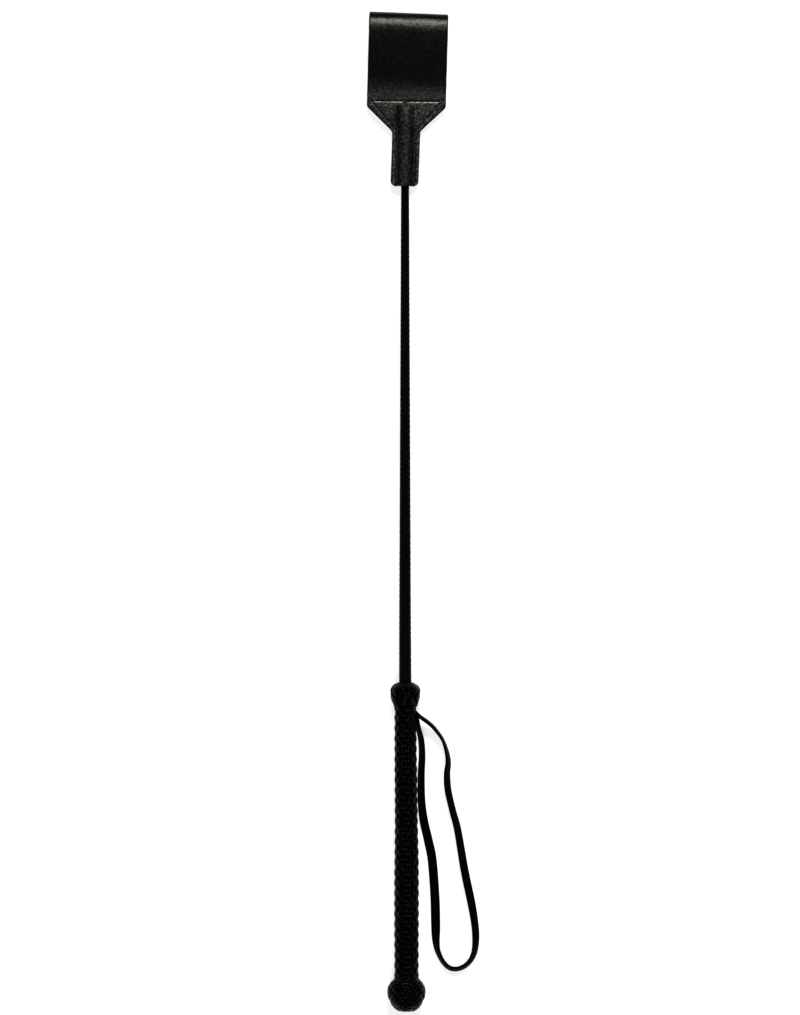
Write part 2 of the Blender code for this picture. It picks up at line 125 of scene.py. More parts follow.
def soft_noise(shape, cells, seed):
    """Smooth noise from -1 to 1 on a grid, with about `cells` bumps along each side."""
    own = np.random.default_rng(seed)
    rows, columns = shape
    coarse = own.uniform(-1, 1, (cells[0] + 3, cells[1] + 3))
    r = np.linspace(0, cells[0], rows)
    c = np.linspace(0, cells[1], columns)

    def weights(at):
        whole = np.floor(at).astype(int)
        part = at - whole
        basis = [(1 - part) ** 3 / 6, (3 * part**3 - 6 * part**2 + 4) / 6]
        basis += [(-3 * part**3 + 3 * part**2 + 3 * part + 1) / 6, part**3 / 6]
        return whole, basis

    row_start, row_basis = weights(r)
    column_start, column_basis = weights(c)
    out = np.zeros(shape)
    for i in range(4):
        for j in range(4):
            picked = coarse[np.minimum(row_start + i, cells[0] + 2)][:, np.minimum(column_start + j, cells[1] + 2)]
            out += row_basis[i][:, None] * column_basis[j][None, :] * picked
    return out * 1.6


def wander(count, bumps, seed):
    """Smooth noise along a line."""
    return soft_noise((count, 1), (bumps, 1), seed)[:, 0]


# Meshes ------------------------------


def to_world(points, matrix):
    array = np.array(matrix)
    return points @ array[:3, :3].T + array[:3, 3]


def grid_faces(rows, columns, closed_columns=False, closed_rows=False, start=0):
    r = np.arange(rows if closed_rows else rows - 1)
    c = np.arange(columns if closed_columns else columns - 1)
    r, c = np.meshgrid(r, c, indexing="ij")
    r, c = r.ravel(), c.ravel()
    below, right = (r + 1) % rows, (c + 1) % columns
    corners = [r * columns + c, r * columns + right, below * columns + right, below * columns + c]
    return (np.stack(corners, axis=1) + start).tolist()


def bar_faces(rows, columns):
    """Faces of a closed tube of rings with a cap at each end."""
    caps = [list(range(columns))[::-1], [(rows - 1) * columns + i for i in range(columns)]]
    return grid_faces(rows, columns, True) + caps


def make_piece(name, points, faces, material, lie, edge=None, coarse=None):
    """A mesh object from world points. lie holds each point's place on its own piece of leather or thread, in
    metres, for the grain to follow, edge is 1 where a cut edge shows, and coarse is how open the grain is and how
    grey the tops of its pebbles are, a grey that is partly painted sheen."""
    mesh = bpy.data.meshes.new(name)
    mesh.from_pydata(np.asarray(points).tolist(), [], faces)
    build = bmesh.new()
    build.from_mesh(mesh)
    bmesh.ops.recalc_face_normals(build, faces=build.faces)
    build.to_mesh(mesh)
    build.free()
    mesh.shade_smooth()
    attribute = mesh.attributes.new("lie", "FLOAT_VECTOR", "POINT")
    attribute.data.foreach_set("vector", np.asarray(lie, dtype=np.float32).ravel())
    for key, values in (("edge", edge), ("coarse", coarse)):
        if values is not None:
            attribute = mesh.attributes.new(key, "FLOAT", "POINT")
            attribute.data.foreach_set("value", np.asarray(values, dtype=np.float32).ravel())
    made = bpy.data.objects.new(name, mesh)
    mesh.materials.append(material)
    bpy.context.scene.collection.objects.link(made)
    return made


def section(count, width, thickness, crown, round_x=0.55, round_z=0.8):
    """A lace's closed cross-section, flat below, crowned above and rounded at its edges. Small round_x and
    round_z make its corners crisp."""
    turn = full_turn(count) + math.pi / count
    x = np.sign(np.cos(turn)) * np.abs(np.cos(turn)) ** round_x
    z = np.sign(np.sin(turn)) * np.abs(np.sin(turn)) ** round_z
    return x * width / 2, z * thickness / 2 + crown * (1 - x * x) * (z > 0), np.abs(x)


def round_section(count, radius):
    """A thread's or fibre's round cross-section."""
    turn = full_turn(count)
    return radius * np.cos(turn), radius * np.sin(turn), np.zeros(count)


def sweep(centre, across, outward, shape, width_share=None, closed=False):
    """Points and faces of a lace: shape is its cross-section, placed at each centre."""
    x, z, at_edge = shape
    share = np.ones(len(centre)) if width_share is None else width_share
    points = (
        centre[:, None, :]
        + across[:, None, :] * (x[None, :, None] * share[:, None, None])
        + outward[:, None, :] * z[None, :, None]
    )
    rows, columns = len(centre), len(x)
    faces = grid_faces(rows, columns, True, True) if closed else bar_faces(rows, columns)
    steps = np.linalg.norm(np.diff(centre, axis=0), axis=1)
    travelled = np.concatenate([[0], np.cumsum(steps)])
    lie = np.zeros_like(points)
    lie[..., 0] = x[None, :] * MM
    lie[..., 1] = travelled[:, None] * MM
    lie[..., 2] = z[None, :] * MM
    edge = np.broadcast_to(smoothstep(0.86, 1.0, at_edge)[None, :], points.shape[:2])
    return points.reshape(-1, 3), faces, lie.reshape(-1, 3), edge.reshape(-1)


OWN_STRETCH = 0.037  # metres between the places on the hide that two laces are cut from


def make_swept(name, parts, matrix, material, bowed=False):
    """A piece made of sweeps, each with its own stretch of leather. If it's bowed it follows the crop's bow."""
    points, faces, lies, edges, start = [], [], [], [], 0
    for number, (own_points, own_faces, own_lie, own_edge) in enumerate(parts):
        points.append(own_points)
        faces += [[corner + start for corner in face] for face in own_faces]
        lies.append(own_lie + np.array([OWN_STRETCH, 0.0, 0.0]) * number)
        edges.append(own_edge)
        start += len(own_points)
    points = np.concatenate(points)
    if bowed:
        points[:, 0] += bow(points[:, 1])
    points = to_world(points, matrix)
    return make_piece(name, points, faces, material, np.concatenate(lies), np.concatenate(edges))


# Materials ------------------------------


class Nodes:
    """A short way to write a node tree."""

    def __init__(self, name):
        self.material = bpy.data.materials.new(name)
        self.material.use_nodes = True
        self.tree = self.material.node_tree
        self.shader = self.tree.nodes["Principled BSDF"]

    def add(self, kind, values=(), links=(), **settings):
        node = self.tree.nodes.new("ShaderNode" + kind)
        for key, value in settings.items():
            setattr(node, key, value)
        for key, value in dict(values).items():
            node.inputs[key].default_value = value
        for key, source in dict(links).items():
            self.tree.links.new(source, node.inputs[key])
        return node

    def lie(self):
        return self.add("Attribute", attribute_name="lie").outputs["Vector"]

    def noise(self, place, scale, detail=3.0, rough=0.55):
        values = {"Scale": scale, "Detail": detail, "Roughness": rough}
        return self.add("TexNoise", values, {"Vector": place}).outputs["Fac"]

    def ramp(self, source, stops):
        node = self.add("ValToRGB", links={"Fac": source})
        elements = node.color_ramp.elements
        while len(elements) < len(stops):
            elements.new(0.5)
        for element, (at, value) in zip(elements, stops):
            element.position = at
            grey = value if isinstance(value, tuple) else (value, value, value)
            element.color = (*grey, 1)
        return node.outputs["Color"]

    def math(self, operation, first, second):
        node = self.add("Math", operation=operation)
        for number, value in enumerate((first, second)):
            if isinstance(value, (int, float)):
                node.inputs[number].default_value = value
            else:
                self.tree.links.new(value, node.inputs[number])
        return node.outputs[0]

    def times(self, first, second):
        return self.math("MULTIPLY", first, second)

    def blend(self, share, first, second):
        node = self.add("Mix", data_type="RGBA")
        for key, value in ((0, share), (6, first), (7, second)):
            if isinstance(value, tuple):
                node.inputs[key].default_value = (*value, 1)
            elif isinstance(value, (int, float)):
                node.inputs[key].default_value = value
            else:
                self.tree.links.new(value, node.inputs[key])
        return node.outputs[2]

    def bump(self, height, distance, strength=1.0, below=None):
        links = {"Height": height}
        if below:
            links["Normal"] = below
        values = {"Strength": strength, "Distance": distance}
        return self.add("Bump", values, links).outputs["Normal"]

    def finish(self, colour, roughness, normal, **constants):
        for key, source in (("Base Color", colour), ("Roughness", roughness), ("Normal", normal)):
            self.tree.links.new(source, self.shader.inputs[key])
        for key, value in constants.items():
            self.shader.inputs[key.replace("_", " ")].default_value = value
        return self.material


# The grey of the open grain's pebble tops: partly rubbing, partly a painted sheen where the lamps catch the leather
RUBBED_AND_SHEEN_GREY = (0.290, 0.286, 0.270)
CUT_EDGE_GLOSS = (0.72, 0.72, 0.72)


def leather(name, dark, light, grain_mm, depth_mm, rough, worn, shine, specks=0.0, tint=(1.0, 1.0, 1.0)):
    """Dyed leather: pebbled grain with creases between the pebbles, pores, uneven dye and rubbed cut edges. Where
    the mesh's coarse attribute is 1 the grain is open and the tops of its pebbles are greyed, partly as rubbing and
    partly as a painted sheen, and where it's negative it's polished."""
    nodes = Nodes(name)
    place = nodes.lie()
    warp = nodes.add("TexNoise", {"Scale": 260.0, "Detail": 2.0}, {"Vector": place}).outputs["Color"]
    bent = nodes.add("VectorMath", {"Scale": 0.0011}, {0: warp}, operation="SCALE").outputs["Vector"]
    bent = nodes.add("VectorMath", {}, {0: place, 1: bent}, operation="ADD").outputs["Vector"]
    cells = nodes.add("TexVoronoi", {"Scale": 1000.0 / grain_mm, "Randomness": 1.0}, {"Vector": bent})
    pebble = nodes.ramp(cells.outputs["Distance"], [(0.0, 1.0), (0.55, 0.62), (0.95, 0.0)])
    small = nodes.add("TexVoronoi", {"Scale": 2600.0 / grain_mm}, {"Vector": bent}).outputs["Distance"]
    fine = nodes.noise(place, 5200.0, 2.0)
    broad = nodes.noise(place, 55.0, 4.0)
    patch = nodes.noise(place, 420.0, 5.0, 0.7)
    edge = nodes.add("Attribute", attribute_name="edge").outputs["Fac"]
    dye = nodes.blend(nodes.ramp(broad, [(0.3, 0.0), (0.75, 1.0)]), dark, light)
    speck = nodes.ramp(patch, [(0.52, 0.0), (0.78, 1.0)])
    dye = nodes.blend(nodes.times(speck, specks), dye, tuple(3.2 * part for part in light))
    rubbed = nodes.times(edge, nodes.ramp(patch, [(0.35, 0.25), (0.7, 1.0)]))
    dye = nodes.blend(rubbed, dye, worn)
    gloss = nodes.ramp(patch, [(0.3, rough - 0.06), (0.7, rough + 0.06)])
    coarse = nodes.add("Attribute", attribute_name="coarse").outputs["Fac"]
    # Where the grain is open the tops of the pebbles are greyed, partly as rubbing and partly as a painted sheen, and
    # the creases stay black
    tops = nodes.ramp(cells.outputs["Distance"], [(0.0, 1.0), (0.40, 0.75), (0.68, 0.0)])
    tops = nodes.times(tops, nodes.ramp(patch, [(0.42, 0.08), (0.61, 1.0)]))
    tops = nodes.times(tops, nodes.math("MAXIMUM", coarse, 0.0))
    dye = nodes.blend(nodes.math("MINIMUM", tops, 1.0), dye, RUBBED_AND_SHEEN_GREY)
    gloss = nodes.math("ADD", gloss, nodes.times(coarse, 0.2))
    gloss = nodes.blend(edge, gloss, CUT_EDGE_GLOSS)
    pebble = nodes.times(pebble, nodes.math("ADD", nodes.times(coarse, 0.9), 0.6))
    normal = nodes.bump(pebble, depth_mm * MM, 1.0)
    normal = nodes.bump(small, depth_mm * 0.35 * MM, 0.7, normal)
    normal = nodes.bump(fine, depth_mm * 0.25 * MM, 0.6, normal)
    return nodes.finish(dye, gloss, normal, Specular_IOR_Level=shine, Specular_Tint=(*tint, 1.0))


def thread(name, dark, light, rough, shine):
    """Twisted waxed thread: fine lines wound round it, with lint."""
    nodes = Nodes(name)
    place = nodes.lie()
    lines = nodes.add(
        "TexWave", {"Scale": 900.0, "Distortion": 1.2, "Detail": 2.0}, {"Vector": place}, bands_direction="DIAGONAL"
    ).outputs["Fac"]
    lint = nodes.noise(place, 1800.0, 4.0, 0.7)
    dye = nodes.blend(nodes.ramp(lint, [(0.4, 0.0), (0.75, 1.0)]), dark, light)
    gloss = nodes.ramp(lint, [(0.3, rough - 0.1), (0.7, rough + 0.15)])
    normal = nodes.bump(lines, 0.00006, 0.8)
    normal = nodes.bump(lint, 0.00005, 0.6, normal)
    return nodes.finish(dye, gloss, normal, Specular_IOR_Level=shine)


def wood(name, dark, light, rough):
    """Stained wood with fine lengthwise grain, for the formers inside."""
    nodes = Nodes(name)
    place = nodes.add("TexCoord").outputs["Object"]
    stretched = nodes.add("Mapping", {"Scale": (1.0, 0.08, 1.0)}, {"Vector": place}).outputs["Vector"]
    rings = nodes.noise(stretched, 900.0, 5.0, 0.65)
    dye = nodes.blend(nodes.ramp(rings, [(0.35, 0.0), (0.7, 1.0)]), dark, light)
    gloss = nodes.ramp(rings, [(0.3, rough - 0.08), (0.7, rough + 0.08)])
    return nodes.finish(dye, gloss, nodes.bump(rings, 0.00008, 0.7))


GRAIN = leather("keeper_grain_leather", (0.0075, 0.0075, 0.0073), (0.0130, 0.0127, 0.0118), 0.72, 0.055, 0.26,
                (0.020, 0.017, 0.014), 0.45, specks=0.8, tint=(0.98, 1.0, 0.90))
PLAIT = leather("plait_strap_leather", (0.0020, 0.0020, 0.0021), (0.0040, 0.0040, 0.0040), 0.5, 0.022, 0.22,
                (0.012, 0.011, 0.010), 0.09, specks=0.25)
LACE = leather("wrist_lace_leather", (0.0020, 0.0020, 0.0020), (0.0042, 0.0040, 0.0038), 0.55, 0.05, 0.40,
               (0.010, 0.009, 0.008), 0.012, specks=0.3)
THREAD = thread("waxed_stitching_thread", (0.0035, 0.0035, 0.0035), (0.010, 0.0098, 0.0094), 0.45, 0.4)
COVER = thread("braided_cover_yarn", (0.0018, 0.0018, 0.0018), (0.0050, 0.0050, 0.0050), 0.55, 0.1)
BLACK_WOOD = wood("blackened_former_wood", (0.003, 0.003, 0.003), (0.008, 0.007, 0.006), 0.6)
GLASS_FIBRE = wood("pultruded_glass_fibre", (0.30, 0.28, 0.20), (0.55, 0.53, 0.42), 0.45)


def dress_hidden_pieces():
    """The CAD's own solids that stay: the rod, its whipping and the formers."""
    for node, material in (
        ("core_rod", GLASS_FIBRE),
        ("tip_whipping", THREAD),
        ("handle_core", BLACK_WOOD),
        ("collar_foundation", BLACK_WOOD),
        ("pommel_ball", BLACK_WOOD),
    ):
        piece = frame["nodes"][node]
        piece.data.materials.clear()
        piece.data.materials.append(material)


# The shaft ------------------------------

# (along, offset to the right)
BOW = [(14.0, 0.75), (100.0, 0.85), (145.0, 0.5), (176.0, 0.15), (205.0, 0.0), (260.0, -0.16)]


def bow(along):
    """How far the crop's middle line wanders sideways: it was plaited by hand and isn't quite straight."""
    fine = np.linspace(0, 300, 601)
    offset = look_up(BOW, fine)
    kernel = np.hanning(41) / np.hanning(41).sum()
    offset = np.convolve(np.pad(offset, 20, mode="edge"), kernel, mode="valid")
    return np.interp(along, fine, offset)


SHAFT_START, SHAFT_END = 201.7, 598.0
SHAFT_RADIUS_HANDLE, SHAFT_RADIUS_TIP, SHAFT_TAPER_START = 3.9, 2.25, 218.0
COVER_WALL = 0.8


def shaft_radius(along):
    """The taper starts a little beyond the collar."""
    share = np.clip((along - SHAFT_TAPER_START) / (SHAFT_END - SHAFT_TAPER_START), 0, 1)
    return mix(SHAFT_RADIUS_HANDLE, SHAFT_RADIUS_TIP, share)


def make_shaft_braid():
    """The woven cover, with its yarns each way over one and under one, as real relief."""
    yarns, pitch, yarn_height, crossing_height = 12, 1.75, 0.30, 0.16
    around, step = 84, 0.3
    along = np.arange(SHAFT_START, SHAFT_END + step / 2, step)
    turn = full_turn(around)
    y, a = np.meshgrid(along, turn, indexing="ij")
    # The two families of yarns, counted round the shaft
    rise = (y - SHAFT_START) / pitch / 2
    p = yarns * a / (2 * math.pi) + rise
    q = yarns * a / (2 * math.pi) - rise
    over = np.cos(math.pi * p) * np.cos(math.pi * q)

    def crown(at):
        off = np.abs(at - np.round(at)) * 2
        return np.sqrt(np.clip(1 - (off * 0.97) ** 2, 0, 1))

    first = yarn_height * crown(p) + crossing_height * over
    second = yarn_height * crown(q) - crossing_height * over
    relief = np.maximum(first, second) - 0.26
    relief += 0.04 * soft_noise(y.shape, (420, 14), 3)
    radius = shaft_radius(y) + relief
    outer = round_axis(radius, y, a)
    bore = shaft_radius(y[::8]) - COVER_WALL
    inner = round_axis(bore, y[::8], a[::8])
    rows_out, rows_in = len(along), len(y[::8])
    # The bore's last ring meets the outside's last ring
    inner[-1, :, 1] = outer[-1, :, 1]
    points = np.concatenate([outer.reshape(-1, 3), inner.reshape(-1, 3)])
    points[:, 0] += bow(points[:, 1])
    bore_start = rows_out * around
    faces = grid_faces(rows_out, around, True) + grid_faces(rows_in, around, True, start=bore_start)
    for here in range(around):
        after = (here + 1) % around
        for out, bore in ((0, bore_start), ((rows_out - 1) * around, bore_start + (rows_in - 1) * around)):
            faces.append([out + here, out + after, bore + after, bore + here])
    piece = make_piece("shaft_braid", to_world(points, CROP), faces, COVER, points * MM)
    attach(piece, "crop")
    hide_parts("shaft_cover")


def make_shaft_lint():
    """Loose fibres that stand off the woven cover."""
    parts = []
    fibres, shape = 170, round_section(3, 0.05)
    for _ in range(fibres):
        start = rng.uniform(SHAFT_TAPER_START + 1, KEEPER_START - 1)
        turn = rng.uniform(0, 2 * math.pi)
        length = rng.uniform(0.7, 2.2)
        heading = rng.uniform(-1, 1)
        share = np.linspace(0, 1, 5)
        lift = rng.uniform(0.15, 0.55) * np.sin(share * math.pi * rng.uniform(0.5, 0.95))
        radius = shaft_radius(start) - 0.15 + lift
        angle = turn + heading * length * share / radius
        along = start + (1 - abs(heading)) * length * share
        centre, outward = round_axis(radius, along, angle), round_axis(1.0, np.zeros(5), angle)
        ahead = np.gradient(centre, axis=0)
        parts.append(sweep(centre, unit(np.cross(ahead, outward)), outward, shape))
    piece = make_swept("shaft_lint", parts, CROP, COVER, bowed=True)
    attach(piece, "crop")


# The handle ------------------------------

HANDLE_START, HANDLE_END = 22.9, 200.2
# (along, radius) over its strands
HANDLE_OUTLINE = [(22.9, 8.15), (40.0, 8.15), (74.0, 8.25), (92.0, 8.2), (108.0, 8.05), (124.0, 7.75),
                  (140.0, 7.65), (160.0, 7.58), (176.0, 7.42), (200.2, 7.3)]
STRANDS_EACH_WAY, PLAIT_PITCH = 6, 6.8
PLAIT_PHASE = math.radians(-30)
STRAND_WIDTH, STRAND_THICKNESS, STRAND_CROWN, STRAND_RISE = 4.35, 0.8, 0.22, 1.1
SNUG_RADIUS = 7.5  # where strands of that width just close up


def make_plait():
    """Twelve strands plaited over one, under one. They close up to their neighbours, as the real ones do."""
    step = PLAIT_PITCH / 2
    rate = 2 * math.pi / STRANDS_EACH_WAY / PLAIT_PITCH
    x, z, at_edge = section(14, STRAND_WIDTH, STRAND_THICKNESS, STRAND_CROWN)
    along = np.arange(HANDLE_START - 0.8, HANDLE_END + 0.9, 0.52)
    outline = look_up(HANDLE_OUTLINE, along)
    for number in range(2 * STRANDS_EACH_WAY):
        hand = 1 if number < STRANDS_EACH_WAY else -1
        crossing = (along - HANDLE_START - step / 2) / step
        wave = np.cos(math.pi * crossing) * hand
        over = np.sign(wave) * np.abs(wave) ** 0.62
        drift = 0.10 * wander(len(along), 45, 100 + number)
        top = outline - STRAND_CROWN - STRAND_THICKNESS / 2
        centre = top - STRAND_RISE / 2 + over * STRAND_RISE / 2 + drift * 0.5
        turn = PLAIT_PHASE + 2 * math.pi * number / STRANDS_EACH_WAY + hand * rate * (along - HANDLE_START - step / 2)
        turn = turn + drift / centre
        slant = np.arctan(hand * rate * centre)
        width = outline / SNUG_RADIUS + 0.05 * wander(len(along), 60, 200 + number)
        side = x[None, :] * width[:, None]
        angle = turn[:, None] + side * np.cos(slant)[:, None] / centre[:, None]
        radius = centre[:, None] + z[None, :]
        y = along[:, None] - side * np.sin(slant)[:, None]
        points = round_axis(radius, y, angle)
        points[..., 0] += bow(y)
        faces = bar_faces(*radius.shape)
        lie = np.zeros_like(points)
        lie[..., 0] = x[None, :] * MM + 0.021 * number
        lie[..., 1] = (along / np.cos(slant))[:, None] * MM
        lie[..., 2] = z[None, :] * MM
        edge = np.broadcast_to(smoothstep(0.88, 1.0, at_edge)[None, :], radius.shape)
        piece = make_piece(f"plait_strand_{number + 1:02d}", to_world(points.reshape(-1, 3), CROP), faces, PLAIT,
                           lie.reshape(-1, 3), edge.reshape(-1))
        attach(piece, "crop")
        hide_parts(f"handle_strand_{number + 1:02d}")


# The woven knots ------------------------------


def turks_head(profile, leads, bights, passes, shift, first, last, width, thickness, crown, rise, steps):
    """The sweeps of a Turk's head knot whose lace follows itself `passes` times. profile(s) gives (radius, along) of
    its outer face at a distance s up its side; the middle pass turns back at s = first and s = last."""
    shape = section(12, width, thickness, crown)
    middle, half = (first + last) / 2, (last - first) / 2

    def on_face(turn, level, out):
        """Points a little off the outer face, with the face's own outward direction."""
        radius, along = profile(level)
        radius_after, along_after = profile(level + 0.05)
        radius_before, along_before = profile(level - 0.05)
        rise_r, rise_y = radius_after - radius_before, along_after - along_before
        size = np.hypot(rise_r, rise_y)
        normal_r, normal_y = rise_y / size, -rise_r / size
        point = round_axis(radius + normal_r * out, along + normal_y * out, turn)
        return point, round_axis(normal_r, normal_y, turn)

    parts = []
    turn = np.linspace(0, 2 * math.pi * leads, steps, endpoint=False)
    swing = bights * turn / leads
    u = np.cos(swing)
    for number in range(passes):
        offset = (number - (passes - 1) / 2) * shift
        # Which lace is on top depends on the row of crossings and on which way this one is heading
        eased = np.clip(u + offset / 2 / half, -1, 1)
        folded = np.arccos(eased)
        row = math.pi / leads
        rows = np.where(
            folded < row,
            -np.sin(leads * folded / 2),
            np.where(folded > math.pi - row, (-1) ** (leads - 1) * np.sin(leads * (math.pi - folded) / 2),
                     np.cos(leads * folded)),
        )
        heading = np.clip(2.2 * np.sin(swing), -1, 1)
        over = np.tanh(2.3 * rows * heading) / math.tanh(2.3)

        level = middle + half * u + offset
        out = -crown - thickness / 2 - rise / 2 + over * rise / 2
        centre, outward = on_face(turn, level, out)
        ahead = np.roll(centre, -1, axis=0) - np.roll(centre, 1, axis=0)
        across = unit(np.cross(ahead, outward))
        parts.append(sweep(centre, across, unit(np.cross(across, ahead)), shape, closed=True))
    return parts


POMMEL_CENTRE, POMMEL_RADIUS = 14.0, 12.75
POMMEL_BELOW, POMMEL_ABOVE = 14.2, 12.6  # how far it reaches from its widest ring towards the butt and the handle


def make_pommel():
    """The knot over the butt, a little longer than it's wide."""

    def profile(level):
        polar = level / POMMEL_RADIUS
        reach = np.where(np.cos(polar) > 0, POMMEL_BELOW, POMMEL_ABOVE)
        return POMMEL_RADIUS * np.sin(polar), POMMEL_CENTRE - reach * np.cos(polar)

    first, last = math.radians(30) * POMMEL_RADIUS, math.radians(122) * POMMEL_RADIUS
    parts = turks_head(profile, leads=5, bights=4, passes=3, shift=3.35, first=first, last=last, width=3.0,
                       thickness=0.85, crown=0.28, rise=1.15, steps=620)
    piece = make_swept("pommel_weave", parts, CROP, PLAIT, bowed=True)
    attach(piece, "crop")
    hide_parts("pommel_knot")


# (radius, along) up its outer face
COLLAR_OUTLINE = [(7.5, 200.4), (8.1, 202.1), (8.6, 204.1), (9.2, 206.1), (9.75, 208.1), (10.15, 210.1),
                  (10.1, 212.1), (9.85, 214.1), (8.6, 216.0), (6.7, 217.7), (4.9, 219.0)]


def make_collar():
    """The knot where the handle meets the shaft."""
    corners = np.array(COLLAR_OUTLINE)
    lengths = np.concatenate([[0], np.cumsum(np.linalg.norm(np.diff(corners, axis=0), axis=1))])
    fine = np.linspace(0, lengths[-1], 120)
    outline = np.stack([np.interp(fine, lengths, corners[:, 0]), np.interp(fine, lengths, corners[:, 1])], axis=1)
    outline = smoothed(outline, 40)

    def profile(level):
        # Straight on past both ends
        slope_low = (outline[1] - outline[0]) / (fine[1] - fine[0])
        slope_high = (outline[-1] - outline[-2]) / (fine[-1] - fine[-2])
        low, high = np.minimum(level, 0), np.maximum(level - fine[-1], 0)
        radius = np.interp(level, fine, outline[:, 0]) + low * slope_low[0] + high * slope_high[0]
        along = np.interp(level, fine, outline[:, 1]) + low * slope_low[1] + high * slope_high[1]
        return radius, along

    parts = turks_head(profile, leads=3, bights=5, passes=3, shift=2.5, first=3.75, last=lengths[-1] - 3.9,
                       width=2.35, thickness=0.75, crown=0.25, rise=0.95, steps=420)
    piece = make_swept("collar_weave", parts, CROP, PLAIT)
    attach(piece, "crop")
    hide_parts("collar_knot")


# The keeper ------------------------------

SLEEVE_HALF_WIDTH, SLEEVE_END = 9.2, 36.0
FUNNEL_END, KEEPER_HALF_WIDTH = 52.2, 26.1
SEAM_ALLOWANCE, STITCH_LINE = 2.8, 56.6
LEAF_GAP = 0.3
SOCKET_LEATHER, FLAP_LEATHER = 1.6, 1.9
FLAP_LENGTH = 54.0
STITCH_PITCH = 4.1
RIDGE_HALF_WIDTH = SLEEVE_HALF_WIDTH - SEAM_ALLOWANCE


def half_width(along):
    """Half the leather's width, with its corners eased."""
    fine = np.arange(-4.0, 66.0, 0.1)
    sharp = np.interp(fine, [-4, SLEEVE_END, FUNNEL_END, 66],
                      [SLEEVE_HALF_WIDTH, SLEEVE_HALF_WIDTH, KEEPER_HALF_WIDTH, KEEPER_HALF_WIDTH])
    kernel = np.exp(-(np.arange(-25, 26) / 11.0) ** 2)
    eased = np.convolve(np.pad(sharp, 25, mode="edge"), kernel / kernel.sum(), mode="valid")
    width = np.interp(along, fine, eased)
    corner = 3.2
    rise = np.clip(corner - along, 0, corner)
    return width - corner + np.sqrt(np.maximum(corner**2 - rise**2, 0.0))


# (along, height of the inner face over the seam)
CREST = [(0.0, 2.5), (3.0, 2.75), (8.0, 3.05), (16.0, 3.35), (36.0, 3.45), (42.0, 3.35), (47.0, 2.95), (51.0, 2.25),
         (52.4, 1.40), (53.6, 0.30), (54.2, 0.0), (60.6, 0.0)]


def crest_height(along):
    """How far the rod inside lifts the socket's leather, along its middle."""
    fine = np.linspace(0, FLEX_LINE, 300)
    return np.interp(along, fine, smoothed(look_up(CREST, fine), 6))


def stitch_corners():
    """The line of stitching on one face, as (x, along) corners: up the right, across the mouth and down the left."""
    mouth = KEEPER_HALF_WIDTH - SEAM_ALLOWANCE - 0.2
    right = [(RIDGE_HALF_WIDTH, 2.6), (RIDGE_HALF_WIDTH, SLEEVE_END + 1.3), (mouth, STITCH_LINE - 0.9),
             (mouth, STITCH_LINE)]
    return right + [(-x, along) for x, along in reversed(right)]


def to_stitching(x, along):
    """Each point's distance from the line of stitching, and how far along that line its nearest point lies."""
    corners = stitch_corners()
    best = np.full(x.shape, 1e9)
    where = np.zeros(x.shape)
    travelled = 0.0
    for (x0, y0), (x1, y1) in zip(corners, corners[1:]):
        dx, dy = x1 - x0, y1 - y0
        size = math.hypot(dx, dy)
        share = np.clip(((x - x0) * dx + (along - y0) * dy) / size**2, 0, 1)
        gap = np.hypot(x - x0 - share * dx, along - y0 - share * dy)
        nearer = gap < best
        best = np.where(nearer, gap, best)
        where = np.where(nearer, travelled + share * size, where)
        travelled += size
    return best, where


# The rows close up towards the mouth, where the seam is
SOCKET_ROWS = np.concatenate([np.arange(0.0, 50.0, 0.6), np.arange(50.0, FLEX_LINE - 0.2, 0.3)])


def leaf_lift(along):
    """How far the front leaf has come up from the back one: it's pulled down at the seam and springs open."""
    spring, reach, onset = 2.25, 10.0, 1.2
    eased = math.hypot(max(along - STITCH_LINE, 0.0), onset) - onset
    return spring * (1 - math.exp(-eased / reach))


def keeper_rows():
    """The folded strip's middle line as rows of (part, face, along, height): up the front, round the fold and down
    the back. Face is 1 in front and -1 behind."""
    leaf = (FLAP_LEATHER + LEAF_GAP) / 2
    reach = FLAP_LENGTH - FLAP_LEATHER / 2
    tip_height, nose, heel, bulge = 0.3, 12.8, 4.5, 1.6
    arch = reach - nose
    rows = [("socket", 1, along, leaf_lift(along)) for along in SOCKET_ROWS]
    for along in np.arange(0.0, arch - 0.4, 0.8):
        arched = bulge * math.sin(math.pi / 2 * along / arch)
        rows.append(("flap", 1, along, leaf + leaf_lift(along + FLEX_LINE) + arched))
    tip_rise = leaf + leaf_lift(arch + FLEX_LINE) + bulge - tip_height
    for share in np.linspace(1, 0, 36):
        back = nose * share**2  # how far behind the tip
        rows.append(("flap", 1, reach - back, tip_height + tip_rise * math.sqrt(1 - (1 - back / nose) ** 2)))
    for turn in np.linspace(-6, -90, 14):
        angle = math.radians(turn)
        rows.append(("flap", -1, reach - heel * (1 - math.cos(angle)),
                     tip_height + (tip_height + leaf) * math.sin(angle)))
    for along in np.arange(reach - heel - 0.9, 0.0, -0.9):
        rows.append(("flap", -1, along, -leaf))
    return rows + [("socket", -1, along, 0.0) for along in SOCKET_ROWS[::-1]]


COLUMNS, RIM = 97, 3
ROUNDING = 0.45  # how far the rounded edge stands past the last column
OVER_ROD = 0.6  # the share of the columns that lies over the rod, where the leather is moulded to it
SEAMS_REACH = 66.0  # beyond here no seam shapes the leather


